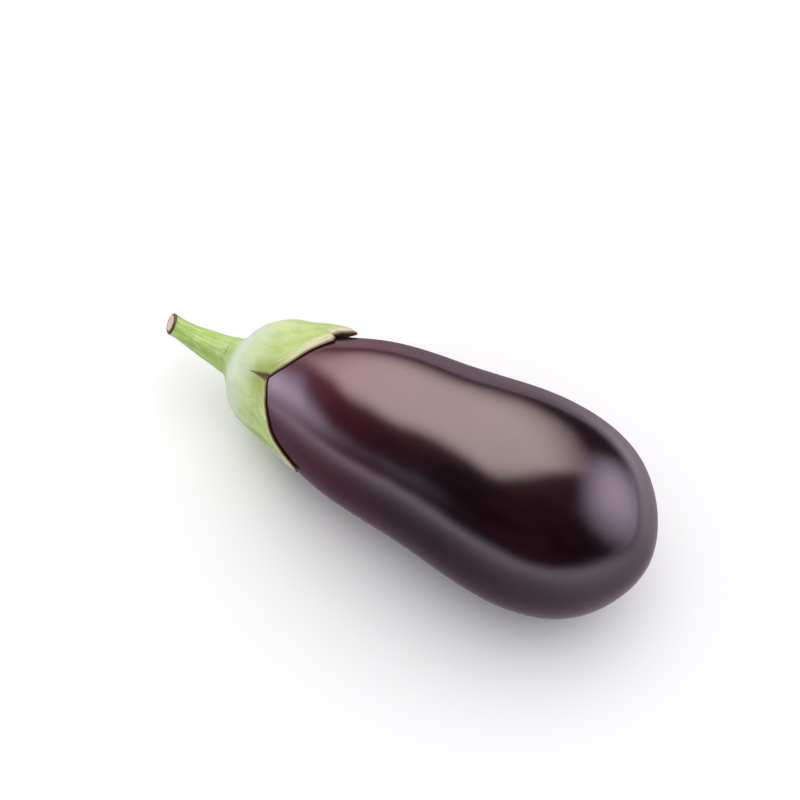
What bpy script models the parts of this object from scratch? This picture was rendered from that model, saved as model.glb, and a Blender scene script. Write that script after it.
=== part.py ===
"""An eggplant lying on its side, in three pieces: the fruit, the calyx that caps its neck, and the stem.

Every piece is first shaped in the fruit's own growing frame. There the fruit's axis is +X, the neck's
pole is at the origin and the blossom end is at x = FRUIT_LENGTH. A bearing is the angle round that
axis, from +Y towards +Z. At the end the whole eggplant is laid down on z = 0, as it comes to rest.
"""

import math

import bmesh
import bpy
import numpy as np
from mathutils import Matrix, Vector

MM = 0.001

# The fruit's outline, from the neck's pole to the blossom end
FRUIT_LENGTH = 200 * MM
SHOULDER_AT = 5 * MM
SHOULDER_RADIUS = 16 * MM
NECK_AT = 21.5 * MM
NECK_RADIUS = 24.8 * MM
FLANK_AT = 58 * MM
FLANK_RADIUS = 35.8 * MM
WAIST_AT = 95 * MM
WAIST_RADIUS = 39.8 * MM
BELLY_FROM_END = 58 * MM
BELLY_RADIUS = 44.5 * MM
HIP_FROM_END = 23.5 * MM
HIP_RADIUS = 36.9 * MM
END_SHOULDER_FROM_END = 6 * MM
END_SHOULDER_RADIUS = 18.8 * MM

# The fruit's own irregularity
BEND = 3.2 * MM  # how far the middle of the axis bows out
BEND_BEARING = math.radians(60)
OVALNESS = 0.35 * MM
OVAL_BEARING = math.radians(25)
RIBBING = 0.3 * MM
RIB_COUNT = 5

# The calyx's edge, from notch to tip to notch: (bearing in degrees, distance from the neck's pole
# measured over the skin, share of the swelling there, how far the edge stands off the skin).
CALYX_EDGE = (
    (8, 36 * MM, 0.4, 0.3 * MM),
    (36, 53.5 * MM, 1.0, 1.2 * MM),
    (44, 56.5 * MM, 1.0, 1.6 * MM),
    (48, 55 * MM, 1.0, 1.6 * MM),
    (52, 50.5 * MM, 1.0, 1.2 * MM),
    (56, 53 * MM, 1.0, 0.7 * MM),
    (64, 54.8 * MM, 1.0, 0.5 * MM),
    (68, 54 * MM, 0.9, 0.4 * MM),
    (76, 50.8 * MM, 0.8, 0.3 * MM),
    (124, 34.4 * MM, 0.1, 0.1 * MM),
    (144, 38.9 * MM, 0, 0.2 * MM),
    (172, 46 * MM, 0, 0.3 * MM),
    (180, 51 * MM, 0, 0.4 * MM),
    (188, 59.5 * MM, 0, 0.5 * MM),
    (192, 62 * MM, 0, 0.5 * MM),
    (200, 55 * MM, 0, 0.4 * MM),
    (212, 45.5 * MM, 0, 0.2 * MM),
    (240, 36 * MM, 0, 0.1 * MM),
    (260, 48 * MM, 0.1, 0.5 * MM),
    (272, 57 * MM, 0.1, 0.8 * MM),
    (284, 47 * MM, 0.1, 0.5 * MM),
    (304, 35 * MM, 0.1, 0.1 * MM),
    (324, 50 * MM, 0.4, 0.3 * MM),
    (336, 59 * MM, 0.5, 0.5 * MM),
    (348, 47.5 * MM, 0.5, 0.4 * MM),
)
# The calyx's flesh: (distance from the neck's pole over the skin, its thickness where it isn't swollen,
# its thickness where it is).
CALYX_FLESH = (
    (14 * MM, 6.9 * MM, 8.6 * MM),
    (18 * MM, 4.8 * MM, 7.7 * MM),
    (22 * MM, 2.9 * MM, 7.8 * MM),
    (27 * MM, 1.8 * MM, 7.0 * MM),
    (35 * MM, 1.2 * MM, 5.4 * MM),
    (45 * MM, 1.0 * MM, 3.9 * MM),
    (64 * MM, 0.9 * MM, 2.0 * MM),
)
CALYX_EDGE_THICKNESS = 0.9 * MM
EDGE_STEEPNESS = 8  # the higher, the nearer to its edge the calyx keeps its flesh
CALYX_GAP = 0.4 * MM
EDGE_LIFT_FROM = 0.5  # the share of the way to the edge where it starts to stand off the skin

# The collar, where the calyx narrows to the stem, and the stem
COLLAR_RADIUS = 8.2 * MM
COLLAR_HEIGHT = 11 * MM  # above the neck's pole
COLLAR_ASIDE = 1.6 * MM  # how far the collar sits off the axis
COLLAR_BEARING = math.radians(40)
SHOULDER_FROM_POLE = 14 * MM  # where the collar's flare meets the calyx's shoulder, over the skin
COLLAR_RUN = 2 * MM  # how far the collar keeps its own heading
SHOULDER_RUN = 5 * MM  # how far the shoulder keeps its own heading
STEM_GAP = 0.3 * MM
STEM_LENGTH = 34 * MM
STEM_TIP_RADIUS = 4.7 * MM
STEM_TURN = math.radians(38)
STEM_BEARING = math.radians(112)
STEM_TAPER = 1.25
STEM_RIDGE = 0.3 * MM
STEM_RIDGES = 5

# The flat spot that the fruit's weight presses on what it lies on
FLAT_DEPTH = 0.7 * MM

# Mesh fineness
FRUIT_RINGS = 30
FRUIT_COLUMNS = 48
CALYX_COLUMNS = 90
CALYX_UNDER_RINGS = 13
CALYX_LEAF_RINGS = 13
CALYX_FLARE_RINGS = 6
CALYX_RINGS = CALYX_UNDER_RINGS + CALYX_LEAF_RINGS + CALYX_FLARE_RINGS + 2
STEM_RINGS = 8
STEM_COLUMNS = 20
OUTLINE_SAMPLES = 800
MERGE = 0.001 * MM

SKIN = ("eggplant_skin", (0.032, 0.006, 0.018), 0.22)
CALYX_GREEN = ("calyx_green", (0.33, 0.50, 0.14), 0.6)
STEM_GREEN = ("stem_green", (0.27, 0.44, 0.11), 0.6)


def clear_scene():
    for thing in list(bpy.data.objects):
        bpy.data.objects.remove(thing)


def closed_spline(points, samples):
    """Points along half of a smooth closed loop: the loop goes through points, from pole to pole, and
    back through their mirror images, so that it crosses the axis squarely at both poles."""
    points = np.array(points)
    mirrored = points[-2:0:-1] * [1, -1]
    loop = np.concatenate([points, mirrored])
    count = len(loop)
    after = np.roll(loop, -1, axis=0)
    steps = np.linalg.norm(after - loop, axis=1)
    before_steps = np.roll(steps, 1)
    system = np.zeros((count, count))
    for i in range(count):
        system[i, i - 1] += before_steps[i]
        system[i, i] += 2 * (before_steps[i] + steps[i])
        system[i, (i + 1) % count] += steps[i]
    slopes = (after - loop) / steps[:, None]
    curvatures = np.linalg.solve(system, 6 * (slopes - np.roll(slopes, 1, axis=0)))
    knots = np.concatenate([[0], np.cumsum(steps)])
    found = []
    for at in np.linspace(0, knots[len(points) - 1], samples):
        i = min(int(np.searchsorted(knots, at, side="right")) - 1, len(points) - 2)
        step, along = steps[i], at - knots[i]
        left = step - along
        j = (i + 1) % count
        cubic = (curvatures[i] * left**3 + curvatures[j] * along**3) / (6 * step)
        line_start = (loop[i] / step - curvatures[i] * step / 6) * left
        line_end = (loop[j] / step - curvatures[j] * step / 6) * along
        found.append(cubic + line_start + line_end)
    return np.array(found)


OUTLINE = closed_spline(
    (
        (0, 0),
        (SHOULDER_AT, SHOULDER_RADIUS),
        (NECK_AT, NECK_RADIUS),
        (FLANK_AT, FLANK_RADIUS),
        (WAIST_AT, WAIST_RADIUS),
        (FRUIT_LENGTH - BELLY_FROM_END, BELLY_RADIUS),
        (FRUIT_LENGTH - HIP_FROM_END, HIP_RADIUS),
        (FRUIT_LENGTH - END_SHOULDER_FROM_END, END_SHOULDER_RADIUS),
        (FRUIT_LENGTH, 0),
    ),
    OUTLINE_SAMPLES,
)
OVER_SKIN = np.concatenate([[0], np.cumsum(np.linalg.norm(np.diff(OUTLINE, axis=0), axis=1))])
OUTLINE_NORMALS = np.gradient(OUTLINE, axis=0)[:, ::-1] * [-1, 1]
OUTLINE_NORMALS /= np.linalg.norm(OUTLINE_NORMALS, axis=1)[:, None]


def on_outline(distance):
    """The outline's (x, radius) and its outward normal, at a distance over the skin from the neck's pole."""
    at = [np.interp(distance, OVER_SKIN, OUTLINE[:, k]) for k in range(2)]
    normal = [np.interp(distance, OVER_SKIN, OUTLINE_NORMALS[:, k]) for k in range(2)]
    return Vector(at), Vector(normal)


def swell(x, radius, bearing):
    """How far the skin stands out of the true round here: a slight oval, and faint ribs at the neck."""
    share = min(1, max(0, x / FRUIT_LENGTH))
    fade = min(1, radius / SHOULDER_RADIUS)
    oval = OVALNESS * math.cos(2 * (bearing - OVAL_BEARING))
    ribs = RIBBING * (1 - share) * math.cos(RIB_COUNT * bearing)
    return fade * (oval + ribs)


def placed(x, radius, bearing):
    """A point of the growing frame, from its outline position, on the bowed axis."""
    share = min(1, max(0, x / FRUIT_LENGTH))
    bow = BEND * 4 * share * (1 - share)
    radius += swell(x, radius, bearing)
    return Vector(
        (
            x,
            radius * math.cos(bearing) + bow * math.cos(BEND_BEARING),
            radius * math.sin(bearing) + bow * math.sin(BEND_BEARING),
        )
    )


def wrapped(rings, columns, place):
    """A closed mesh of rings and columns. A straight chain is spun into a tube, its two end rings are
    drawn together to poles, and place(share of the rings, bearing) says where each corner goes."""
    made = bmesh.new()
    chain = [made.verts.new((i / rings, 1, 0)) for i in range(rings + 1)]
    edges = [made.edges.new(pair) for pair in zip(chain, chain[1:])]
    bmesh.ops.spin(
        made,
        geom=chain + edges,
        axis=(1, 0, 0),
        cent=(0, 0, 0),
        angle=math.tau,
        steps=columns,
        use_merge=True,
    )
    for corner in made.verts:
        bearing = math.atan2(corner.co.z, corner.co.y) % math.tau
        corner.co = place(corner.co.x, bearing)
    bmesh.ops.remove_doubles(made, verts=made.verts, dist=MERGE)
    bmesh.ops.recalc_face_normals(made, faces=made.faces)
    return made


def make_object(name, made, finish):
    """A smooth-shaded object from a bmesh, with its own material."""
    mesh = bpy.data.meshes.new(name)
    made.to_mesh(mesh)
    made.free()
    mesh.shade_smooth()
    thing = bpy.data.objects.new(name, mesh)
    bpy.context.scene.collection.objects.link(thing)
    material_name, colour, roughness = finish
    material = bpy.data.materials.new(material_name)
    material.use_nodes = True
    shader = material.node_tree.nodes["Principled BSDF"]
    shader.inputs["Base Color"].default_value = (*colour, 1)
    shader.inputs["Roughness"].default_value = roughness
    shader.inputs["Metallic"].default_value = 0
    mesh.materials.append(material)
    return thing


def fruit_corner(share, bearing):
    """A corner of the skin."""
    at, _ = on_outline(OVER_SKIN[-1] * share)
    return placed(at.x, at.y, bearing)


def calyx_edge(bearing):
    """The calyx's edge at a bearing: its distance over the skin from the neck's pole, its share of the
    swelling, and how far it stands off the skin."""
    degrees = round(math.degrees(bearing), 6) % 360
    before, after = CALYX_EDGE[-1], CALYX_EDGE[0]
    for corner in CALYX_EDGE:
        if corner[0] > degrees:
            after = corner
            break
        before = corner
    share = (degrees - before[0]) % 360 / ((after[0] - before[0]) % 360)
    return [start + (end - start) * share for start, end in zip(before[1:], after[1:])]


def under_calyx(distance, bearing):
    """The calyx's underside, as (x, radius), and the skin's normal there. It follows the skin, and stands
    off it near the edge."""
    reach, _, lift = calyx_edge(bearing)
    at, normal = on_outline(distance)
    toward_edge = max(0, distance / reach - EDGE_LIFT_FROM) / (1 - EDGE_LIFT_FROM)
    return at + normal * (CALYX_GAP + lift * toward_edge**2), normal


def over_calyx(distance, bearing):
    """The calyx's outer side, as (x, radius). Its flesh thins towards the edge."""
    reach, swelling, _ = calyx_edge(bearing)
    under, normal = under_calyx(distance, bearing)
    places, plain, swollen = zip(*CALYX_FLESH)
    thin, thick = (np.interp(distance, places, column) for column in (plain, swollen))
    flesh = thin + (thick - thin) * swelling - CALYX_EDGE_THICKNESS
    thickness = CALYX_EDGE_THICKNESS + flesh * (1 - (distance / reach) ** EDGE_STEEPNESS)
    return under + normal * thickness


def collar_aside(share):
    """How far the collar is off the axis here: share is 1 at the stem and fades to 0 in the calyx."""
    aside = COLLAR_ASIDE * share
    return Vector((0, aside * math.cos(COLLAR_BEARING), aside * math.sin(COLLAR_BEARING)))


def flare(share, bearing):
    """The curve that widens from the collar, at share 0, into the calyx's shoulder, at share 1."""
    shoulder = over_calyx(SHOULDER_FROM_POLE, bearing)
    onward = (over_calyx(SHOULDER_FROM_POLE + MM, bearing) - shoulder).normalized()
    collar = Vector((-COLLAR_HEIGHT, COLLAR_RADIUS))
    past_collar = collar + Vector((COLLAR_RUN, 0))
    before_shoulder = shoulder - onward * SHOULDER_RUN
    left = 1 - share
    ends = collar * left**3 + shoulder * share**3
    return ends + (past_collar * left + before_shoulder * share) * 3 * left * share


def calyx_corner(share, bearing):
    """A corner of the calyx. The rings run out along its underside, turn at the edge, come back over its
    outer side and climb the collar, to the middle of the collar's flat top."""
    reach, _, _ = calyx_edge(bearing)
    ring = round(share * CALYX_RINGS)
    if ring == 0:
        return placed(-CALYX_GAP, 0, bearing)
    if ring <= CALYX_UNDER_RINGS:
        distance = reach * ring / CALYX_UNDER_RINGS
        under, _ = under_calyx(distance, bearing)
        return placed(under.x, under.y, bearing)
    ring -= CALYX_UNDER_RINGS + 1
    if ring < CALYX_LEAF_RINGS:
        back = ring / CALYX_LEAF_RINGS
        distance = reach + (SHOULDER_FROM_POLE - reach) * back**0.8
        outer = over_calyx(distance, bearing)
        return placed(outer.x, outer.y, bearing)
    ring -= CALYX_LEAF_RINGS
    if ring > CALYX_FLARE_RINGS:
        return placed(-COLLAR_HEIGHT, 0, bearing) + collar_aside(1)
    climb = ring / CALYX_FLARE_RINGS
    outer = flare(1 - climb, bearing)
    return placed(outer.x, outer.y, bearing) + collar_aside(climb**2)


def stem_corner(share, bearing):
    """A corner of the stem. Its rings run from the middle of its flat base, along an arc that turns
    towards STEM_BEARING, to the middle of its cut end."""
    ring = round(share * (STEM_RINGS + 2))
    along = min(1, max(0, (ring - 1) / STEM_RINGS))
    turned = STEM_TURN * along
    bend_radius = STEM_LENGTH / STEM_TURN
    aside = Vector((0, math.cos(STEM_BEARING), math.sin(STEM_BEARING)))
    back = Vector((-1, 0, 0))
    start = Vector((-COLLAR_HEIGHT - STEM_GAP, 0, 0)) + collar_aside(1)
    centre = start + back * bend_radius * math.sin(turned) + aside * bend_radius * (1 - math.cos(turned))
    heading = back * math.cos(turned) + aside * math.sin(turned)
    radius = STEM_TIP_RADIUS + (COLLAR_RADIUS - STEM_TIP_RADIUS) * (1 - along) ** STEM_TAPER
    radius += STEM_RIDGE * math.sin(math.pi * along) * math.cos(STEM_RIDGES * bearing)
    if ring in (0, STEM_RINGS + 2):
        radius = 0
    spoke = Vector((0, math.cos(bearing), math.sin(bearing)))
    return centre + back.rotation_difference(heading) @ spoke * radius


def make_fruit():
    made = wrapped(FRUIT_RINGS, FRUIT_COLUMNS, fruit_corner)
    return make_object("fruit", made, SKIN)


def make_calyx():
    made = wrapped(CALYX_RINGS, CALYX_COLUMNS, calyx_corner)
    return make_object("calyx", made, CALYX_GREEN)


def make_stem():
    made = wrapped(STEM_RINGS + 2, STEM_COLUMNS, stem_corner)
    return make_object("stem", made, STEM_GREEN)


def lower_hull(points):
    """The corners of the lower side of the convex hull of (x, z) points, from low x to high x."""
    hull = []
    for point in sorted(points):
        while len(hull) > 1:
            (ax, az), (bx, bz) = hull[-2:]
            if (bx - ax) * (point[1] - az) - (bz - az) * (point[0] - ax) > 0:
                break
            hull.pop()
        hull.append(point)
    return hull


def resting_tilt(things, balance):
    """The slope of the line that the eggplant comes to rest on: the edge of its lower hull that the
    balance point's plumb line passes through."""
    points = [(v.co.x, v.co.z) for thing in things for v in thing.data.vertices]
    hull = lower_hull(points)
    for (ax, az), (bx, bz) in zip(hull, hull[1:]):
        tilt = math.atan2(bz - az, bx - ax)
        foot = balance.x + math.tan(tilt) * (balance.z - az)
        if foot <= bx:
            return tilt
    return 0.0


def balance_point(thing):
    """The centre of a closed mesh's volume."""
    made = bmesh.new()
    made.from_mesh(thing.data)
    bmesh.ops.triangulate(made, faces=made.faces)
    total, moment = 0.0, Vector()
    for face in made.faces:
        a, b, c = (corner.co for corner in face.verts)
        volume = a.dot(b.cross(c)) / 6
        total += volume
        moment += volume * (a + b + c) / 4
    made.free()
    return moment / total


def lay_down(things):
    """Tilts the eggplant to its rest, presses its lowest spots flat on z = 0, and puts the origin under
    the middle of its box."""
    tilt = resting_tilt(things, balance_point(things[0]))
    turn = Matrix.Rotation(tilt, 4, "Y")
    for thing in things:
        thing.data.transform(turn)
    corners = [v.co for thing in things for v in thing.data.vertices]
    low = Vector([min(c[k] for c in corners) for k in range(3)])
    high = Vector([max(c[k] for c in corners) for k in range(3)])
    drop = Vector((-(low.x + high.x) / 2, -(low.y + high.y) / 2, -low.z - FLAT_DEPTH))
    for thing in things:
        thing.data.transform(Matrix.Translation(drop))
        for corner in thing.data.vertices:
            corner.co.z = max(0.0, corner.co.z)


def main():
    clear_scene()
    pieces = [make_fruit(), make_calyx(), make_stem()]
    lay_down(pieces)


main()
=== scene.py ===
# %% [markdown]
# # An eggplant, with its calyx and stem
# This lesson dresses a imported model: a berry, the green calyx that caps its neck, and a cut stem. The
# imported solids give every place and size. Each is replaced by a finer mesh of the same shape, then
# given a finish. Everything is in metres, with +Z up, and the eggplant lies on z = 0.

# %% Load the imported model
import functools
import math

import bmesh
import bpy
import numpy as np
from mathutils import Matrix, Vector, kdtree, noise


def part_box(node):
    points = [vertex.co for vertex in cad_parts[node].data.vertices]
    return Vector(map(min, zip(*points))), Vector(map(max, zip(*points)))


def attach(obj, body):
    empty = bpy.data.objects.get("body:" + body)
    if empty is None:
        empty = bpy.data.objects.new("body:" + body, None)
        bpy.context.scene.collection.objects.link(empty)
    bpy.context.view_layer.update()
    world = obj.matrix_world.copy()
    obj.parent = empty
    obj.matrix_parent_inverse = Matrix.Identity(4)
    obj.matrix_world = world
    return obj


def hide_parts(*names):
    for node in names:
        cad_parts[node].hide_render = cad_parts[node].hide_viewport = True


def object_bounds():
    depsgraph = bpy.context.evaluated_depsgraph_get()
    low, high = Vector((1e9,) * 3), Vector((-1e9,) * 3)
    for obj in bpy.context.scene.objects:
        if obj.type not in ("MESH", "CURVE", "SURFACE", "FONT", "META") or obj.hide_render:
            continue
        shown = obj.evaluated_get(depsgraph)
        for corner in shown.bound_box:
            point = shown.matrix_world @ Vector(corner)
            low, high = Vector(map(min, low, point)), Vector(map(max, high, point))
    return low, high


MM = 0.001
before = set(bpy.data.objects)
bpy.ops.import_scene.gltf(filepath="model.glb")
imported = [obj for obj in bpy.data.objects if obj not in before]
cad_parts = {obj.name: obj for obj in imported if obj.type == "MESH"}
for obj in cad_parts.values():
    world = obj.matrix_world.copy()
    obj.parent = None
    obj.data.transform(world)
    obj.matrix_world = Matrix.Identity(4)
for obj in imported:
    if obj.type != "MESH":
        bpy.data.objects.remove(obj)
packed_low, packed_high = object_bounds()
print("packed nodes:", len(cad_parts))
print("packed box, mm:", [round(side / MM, 1) for side in packed_high - packed_low])

# %% [markdown]
# ## The fruit's outline
# An eggplant is nearly round, so its shape is one outline turned about an axis. The outline could be
# drawn by hand as many points, but a few measured radii and a smooth curve through them are easier to
# change. The curve is a closed cubic spline. It continues into its own mirror image, so it crosses the
# axis squarely at both ends and leaves no point there. All of this is in the growing frame: the axis is
# +X, the neck's pole is the origin, and a bearing is the angle round the axis from +Y towards +Z.

# %% The outline as a few stations
FRUIT_LENGTH = 200 * MM
OUTLINE_STATIONS = (  # (distance along the axis, radius)
    (0, 0),
    (5 * MM, 16 * MM),
    (21.5 * MM, 24.8 * MM),
    (58 * MM, 35.8 * MM),
    (95 * MM, 39.8 * MM),
    (142 * MM, 44.5 * MM),
    (176.5 * MM, 36.9 * MM),
    (194 * MM, 18.8 * MM),
    (FRUIT_LENGTH, 0),
)
OUTLINE_SAMPLES = 1600
BELL_REACH = 3  # how many spreads of a bell curve are worth counting


def closed_spline(stations, samples):
    """Points along half of a smooth loop through the stations and their mirror images."""
    stations = np.array(stations)
    loop = np.concatenate([stations, stations[-2:0:-1] * [1, -1]])
    count = len(loop)
    after = np.roll(loop, -1, axis=0)
    steps = np.linalg.norm(after - loop, axis=1)
    before_steps = np.roll(steps, 1)
    system = np.zeros((count, count))
    for i in range(count):
        system[i, i - 1] += before_steps[i]
        system[i, i] += 2 * (before_steps[i] + steps[i])
        system[i, (i + 1) % count] += steps[i]
    slopes = (after - loop) / steps[:, None]
    curvatures = np.linalg.solve(system, 6 * (slopes - np.roll(slopes, 1, axis=0)))
    knots = np.concatenate([[0], np.cumsum(steps)])
    found = []
    for at in np.linspace(0, knots[len(stations) - 1], samples):
        i = min(int(np.searchsorted(knots, at, side="right")) - 1, len(stations) - 2)
        j = (i + 1) % count
        step, along = steps[i], at - knots[i]
        left = step - along
        cubic = (curvatures[i] * left**3 + curvatures[j] * along**3) / (6 * step)
        line_start = (loop[i] / step - curvatures[i] * step / 6) * left
        line_end = (loop[j] / step - curvatures[j] * step / 6) * along
        found.append(cubic + line_start + line_end)
    return np.array(found)


drawn = closed_spline(OUTLINE_STATIONS, OUTLINE_SAMPLES)
over_skin = np.concatenate([[0], np.cumsum(np.linalg.norm(np.diff(drawn, axis=0), axis=1))])
SKIN_LENGTH = over_skin[-1]
OUTLINE_STEP = SKIN_LENGTH / (OUTLINE_SAMPLES - 1)
even = np.arange(OUTLINE_SAMPLES) * OUTLINE_STEP
outline = np.stack([np.interp(even, over_skin, drawn[:, k]) for k in range(2)], axis=1)
outline_normals = np.gradient(outline, axis=0)[:, ::-1] * [-1, 1]
outline, outline_normals = ([Vector(row) for row in rows] for rows in (outline, outline_normals))
for outward in outline_normals:
    outward.normalize()
print("pole to pole over the skin, mm:", round(SKIN_LENGTH / MM, 1))


LAST_PLACE = OUTLINE_SAMPLES - 1.001  # just short of the last sample, so there is always a next one


def on_outline(distance):
    """The outline's (x, radius) and outward normal, at a distance over the skin from the pole."""
    place = min(max(distance / OUTLINE_STEP, 0), LAST_PLACE)
    sample = int(place)
    share = place - sample
    return tuple(rows[sample].lerp(rows[sample + 1], share) for rows in (outline, outline_normals))


def softened(values, spread, mode="edge"):
    """A running average of evenly spaced values, under a bell curve that is spread values wide."""
    half = math.ceil(BELL_REACH * spread)
    weights = np.exp(-0.5 * (np.arange(-half, half + 1) / spread) ** 2)
    return np.convolve(np.pad(values, half, mode=mode), weights / weights.sum(), mode="valid")


# %% [markdown]
# ## From the lathe's shape to a grown one
# A lathe's shape looks machined. A real fruit bows a little towards one side, is slightly oval, and
# keeps faint ribs at the neck from the flower's five parts. One function adds all of that to any point,
# so the fruit and the calyx that grips it bend together.

# %% The grown shape
BOW = 3.2 * MM
BOW_BEARING = math.radians(60)
OVALNESS = 0.35 * MM
OVAL_BEARING = math.radians(25)
RIBBING = 0.3 * MM
RIB_COUNT = 5
RIB_FADE_RADIUS = 16 * MM


def spoke(bearing, length=1.0):
    """A vector that points away from the axis at a bearing."""
    return Vector((0, math.cos(bearing), math.sin(bearing))) * length


def grown(x, radius, bearing):
    """A point of the growing frame from its outline position, on the bowed axis."""
    share = min(1, max(0, x / FRUIT_LENGTH))
    fade = min(1, radius / RIB_FADE_RADIUS)
    radius += fade * OVALNESS * math.cos(2 * (bearing - OVAL_BEARING))
    radius += fade * RIBBING * (1 - share) * math.cos(RIB_COUNT * bearing)
    bow = BOW * 4 * share * (1 - share)  # a parabola, with all of BOW halfway along
    return Vector((x, 0, 0)) + spoke(bearing, radius) + spoke(BOW_BEARING, bow)


# %% [markdown]
# ## Laying the eggplant down
# The pieces are shaped in the growing frame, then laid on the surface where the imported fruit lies. The
# packed fruit's box gives the place, and the slope is the one that the fruit comes to rest at, on its
# belly and the lowest lobe of its calyx. Nothing goes below the surface: the skin is pressed flat
# there, as a ripe fruit's own weight presses it.

# %% Mesh helpers
REST_SLOPE = math.radians(6.133)
TURN_TO_REST = Matrix.Rotation(-REST_SLOPE, 3, "Y")
MERGE = 0.001 * MM
laid_at = Vector()


def lay_down(made):
    """Turns a bmesh from the growing frame to its place on the surface."""
    bmesh.ops.rotate(made, verts=made.verts, cent=(0, 0, 0), matrix=TURN_TO_REST)
    bmesh.ops.translate(made, verts=made.verts, vec=laid_at)
    for corner in made.verts:
        corner.co.z = max(0.0, corner.co.z)


def spun(chain_points, columns):
    """Turns a chain of (x, radius) points into a closed skin about the X axis."""
    made = bmesh.new()
    chain = [made.verts.new((x, radius, 0)) for x, radius in chain_points]
    edges = [made.edges.new(pair) for pair in zip(chain, chain[1:])]
    bmesh.ops.spin(
        made,
        geom=chain + edges,
        axis=(1, 0, 0),
        cent=(0, 0, 0),
        angle=math.tau,
        steps=columns,
        use_merge=True,
    )
    bmesh.ops.remove_doubles(made, verts=made.verts, dist=MERGE)
    bmesh.ops.recalc_face_normals(made, faces=made.faces)
    return made


def finish_piece(name, made, node, finishes, attributes=()):
    """Makes the piece's object from its bmesh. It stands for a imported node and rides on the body."""
    mesh = bpy.data.meshes.new(name)
    made.to_mesh(mesh)
    made.free()
    for key, kind, values in attributes:
        layer = mesh.attributes.new(key, kind, "POINT")
        field = "value" if kind == "FLOAT" else "vector"
        layer.data.foreach_set(field, np.array(values, dtype=np.float32).ravel())
    for finish in finishes:
        mesh.materials.append(finish)
    mesh.shade_smooth()
    piece = bpy.data.objects.new(name, mesh)
    bpy.context.scene.collection.objects.link(piece)
    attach(piece, "root")
    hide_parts(node)
    print(name, len(mesh.polygons), "faces")


# %% [markdown]
# ## Mixing finishes
# Every finish here is a node network. A few short helpers keep the networks readable: one adds a node
# and fills its sockets, one blends two colours, and one turns a value range into a mask. Colours are
# written as 0 to 255, the way a colour chart gives them, and turned to the linear values that light
# uses.


# %% Node helpers
MIX_SHARE, MIX_FIRST, MIX_SECOND = 0, 6, 7  # a Mix node's inputs when it mixes colours
MIX_RESULT = 2


def chart(red, green, blue):
    """A colour chart's 0 to 255 values as a linear colour, by the usual curve for screens."""
    shares = [value / 255 for value in (red, green, blue)]
    return (*[s / 12.92 if s < 0.04045 else ((s + 0.055) / 1.055) ** 2.4 for s in shares], 1)


def fill_socket(tree, socket, value):
    """Joins a socket to another node's output, or sets it to a constant."""
    if isinstance(value, bpy.types.NodeSocket):
        tree.links.new(value, socket)
    else:
        socket.default_value = value


def mix_colours(tree, share, first, second):
    """The first colour at a share of 0, and the second at 1."""
    made = tree.nodes.new("ShaderNodeMix")
    made.data_type = "RGBA"
    for number, value in ((MIX_SHARE, share), (MIX_FIRST, first), (MIX_SECOND, second)):
        fill_socket(tree, made.inputs[number], value)
    return made.outputs[MIX_RESULT]


def multiply(tree, first, second):
    """The product of two values."""
    made = tree.nodes.new("ShaderNodeMath")
    made.operation = "MULTIPLY"
    fill_socket(tree, made.inputs[0], first)
    fill_socket(tree, made.inputs[1], second)
    return made.outputs[0]


def ramp(tree, value, low, high, to_low, to_high):
    """A smooth slope: to_low where the value is low or less, and to_high where it is high or more."""
    made = tree.nodes.new("ShaderNodeMapRange")
    made.interpolation_type = "SMOOTHSTEP"
    ends = {"From Min": low, "From Max": high, "To Min": to_low, "To Max": to_high}
    for key, number in {"Value": value, **ends}.items():
        fill_socket(tree, made.inputs[key], number)
    return made.outputs["Result"]


class Finish:
    """A material with short ways to add and join nodes."""

    def __init__(self, name):
        self.material = bpy.data.materials.new(name)
        self.material.use_nodes = True
        self.tree = self.material.node_tree
        self.shader = self.tree.nodes["Principled BSDF"]

    def node(self, kind, settings=(), **inputs):
        """A new node. An input's name is its socket's, with _ for each space."""
        made = self.tree.nodes.new(kind)
        for key, value in dict(settings).items():
            setattr(made, key, value)
        for key, value in inputs.items():
            fill_socket(self.tree, made.inputs[key.replace("_", " ")], value)
        return made

    def attribute(self, name, output="Fac"):
        """A value or vector that the piece's mesh carries at each corner."""
        return self.node("ShaderNodeAttribute", {"attribute_name": name}).outputs[output]

    def place(self):
        """Where a point lies, in metres."""
        return self.node("ShaderNodeTexCoord").outputs["Object"]

    def noise(self, where, scale, detail=3.0, roughness=0.5):
        """Soft random clouds between 0 and 1. The larger the scale, the finer they are."""
        settings = {"Scale": scale, "Detail": detail, "Roughness": roughness}
        return self.node("ShaderNodeTexNoise", Vector=where, **settings).outputs["Fac"]

    def mask(self, value, low, high, to_low=0.0, to_high=1.0):
        """Turns the part of a value's range between low and high into a share."""
        return ramp(self.tree, value, low, high, to_low, to_high)

    def blend(self, share, first, second):
        return mix_colours(self.tree, share, first, second)

    def product(self, first, second):
        return multiply(self.tree, first, second)

    def total(self, first, second):
        made = self.node("ShaderNodeMath", {"operation": "ADD"})
        fill_socket(self.tree, made.inputs[0], first)
        fill_socket(self.tree, made.inputs[1], second)
        return made.outputs[0]

    def stretched(self, where, scale):
        """The same places, scaled along each axis: a small number draws a pattern out."""
        return self.node("ShaderNodeMapping", Vector=where, Scale=scale).outputs["Vector"]

    def bump(self, height, distance, **under):
        """Relief up to a distance high. A first relief can be given as Normal, to go under it."""
        settings = {"Distance": distance, "Strength": 1.0}
        return self.node("ShaderNodeBump", Height=height, **settings, **under).outputs["Normal"]

    def surface(self, **inputs):
        """Fills the shader's sockets, named as for a node, and gives the material."""
        for key, value in inputs.items():
            fill_socket(self.tree, self.shader.inputs[key.replace("_", " ")], value)
        return self.material


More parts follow.
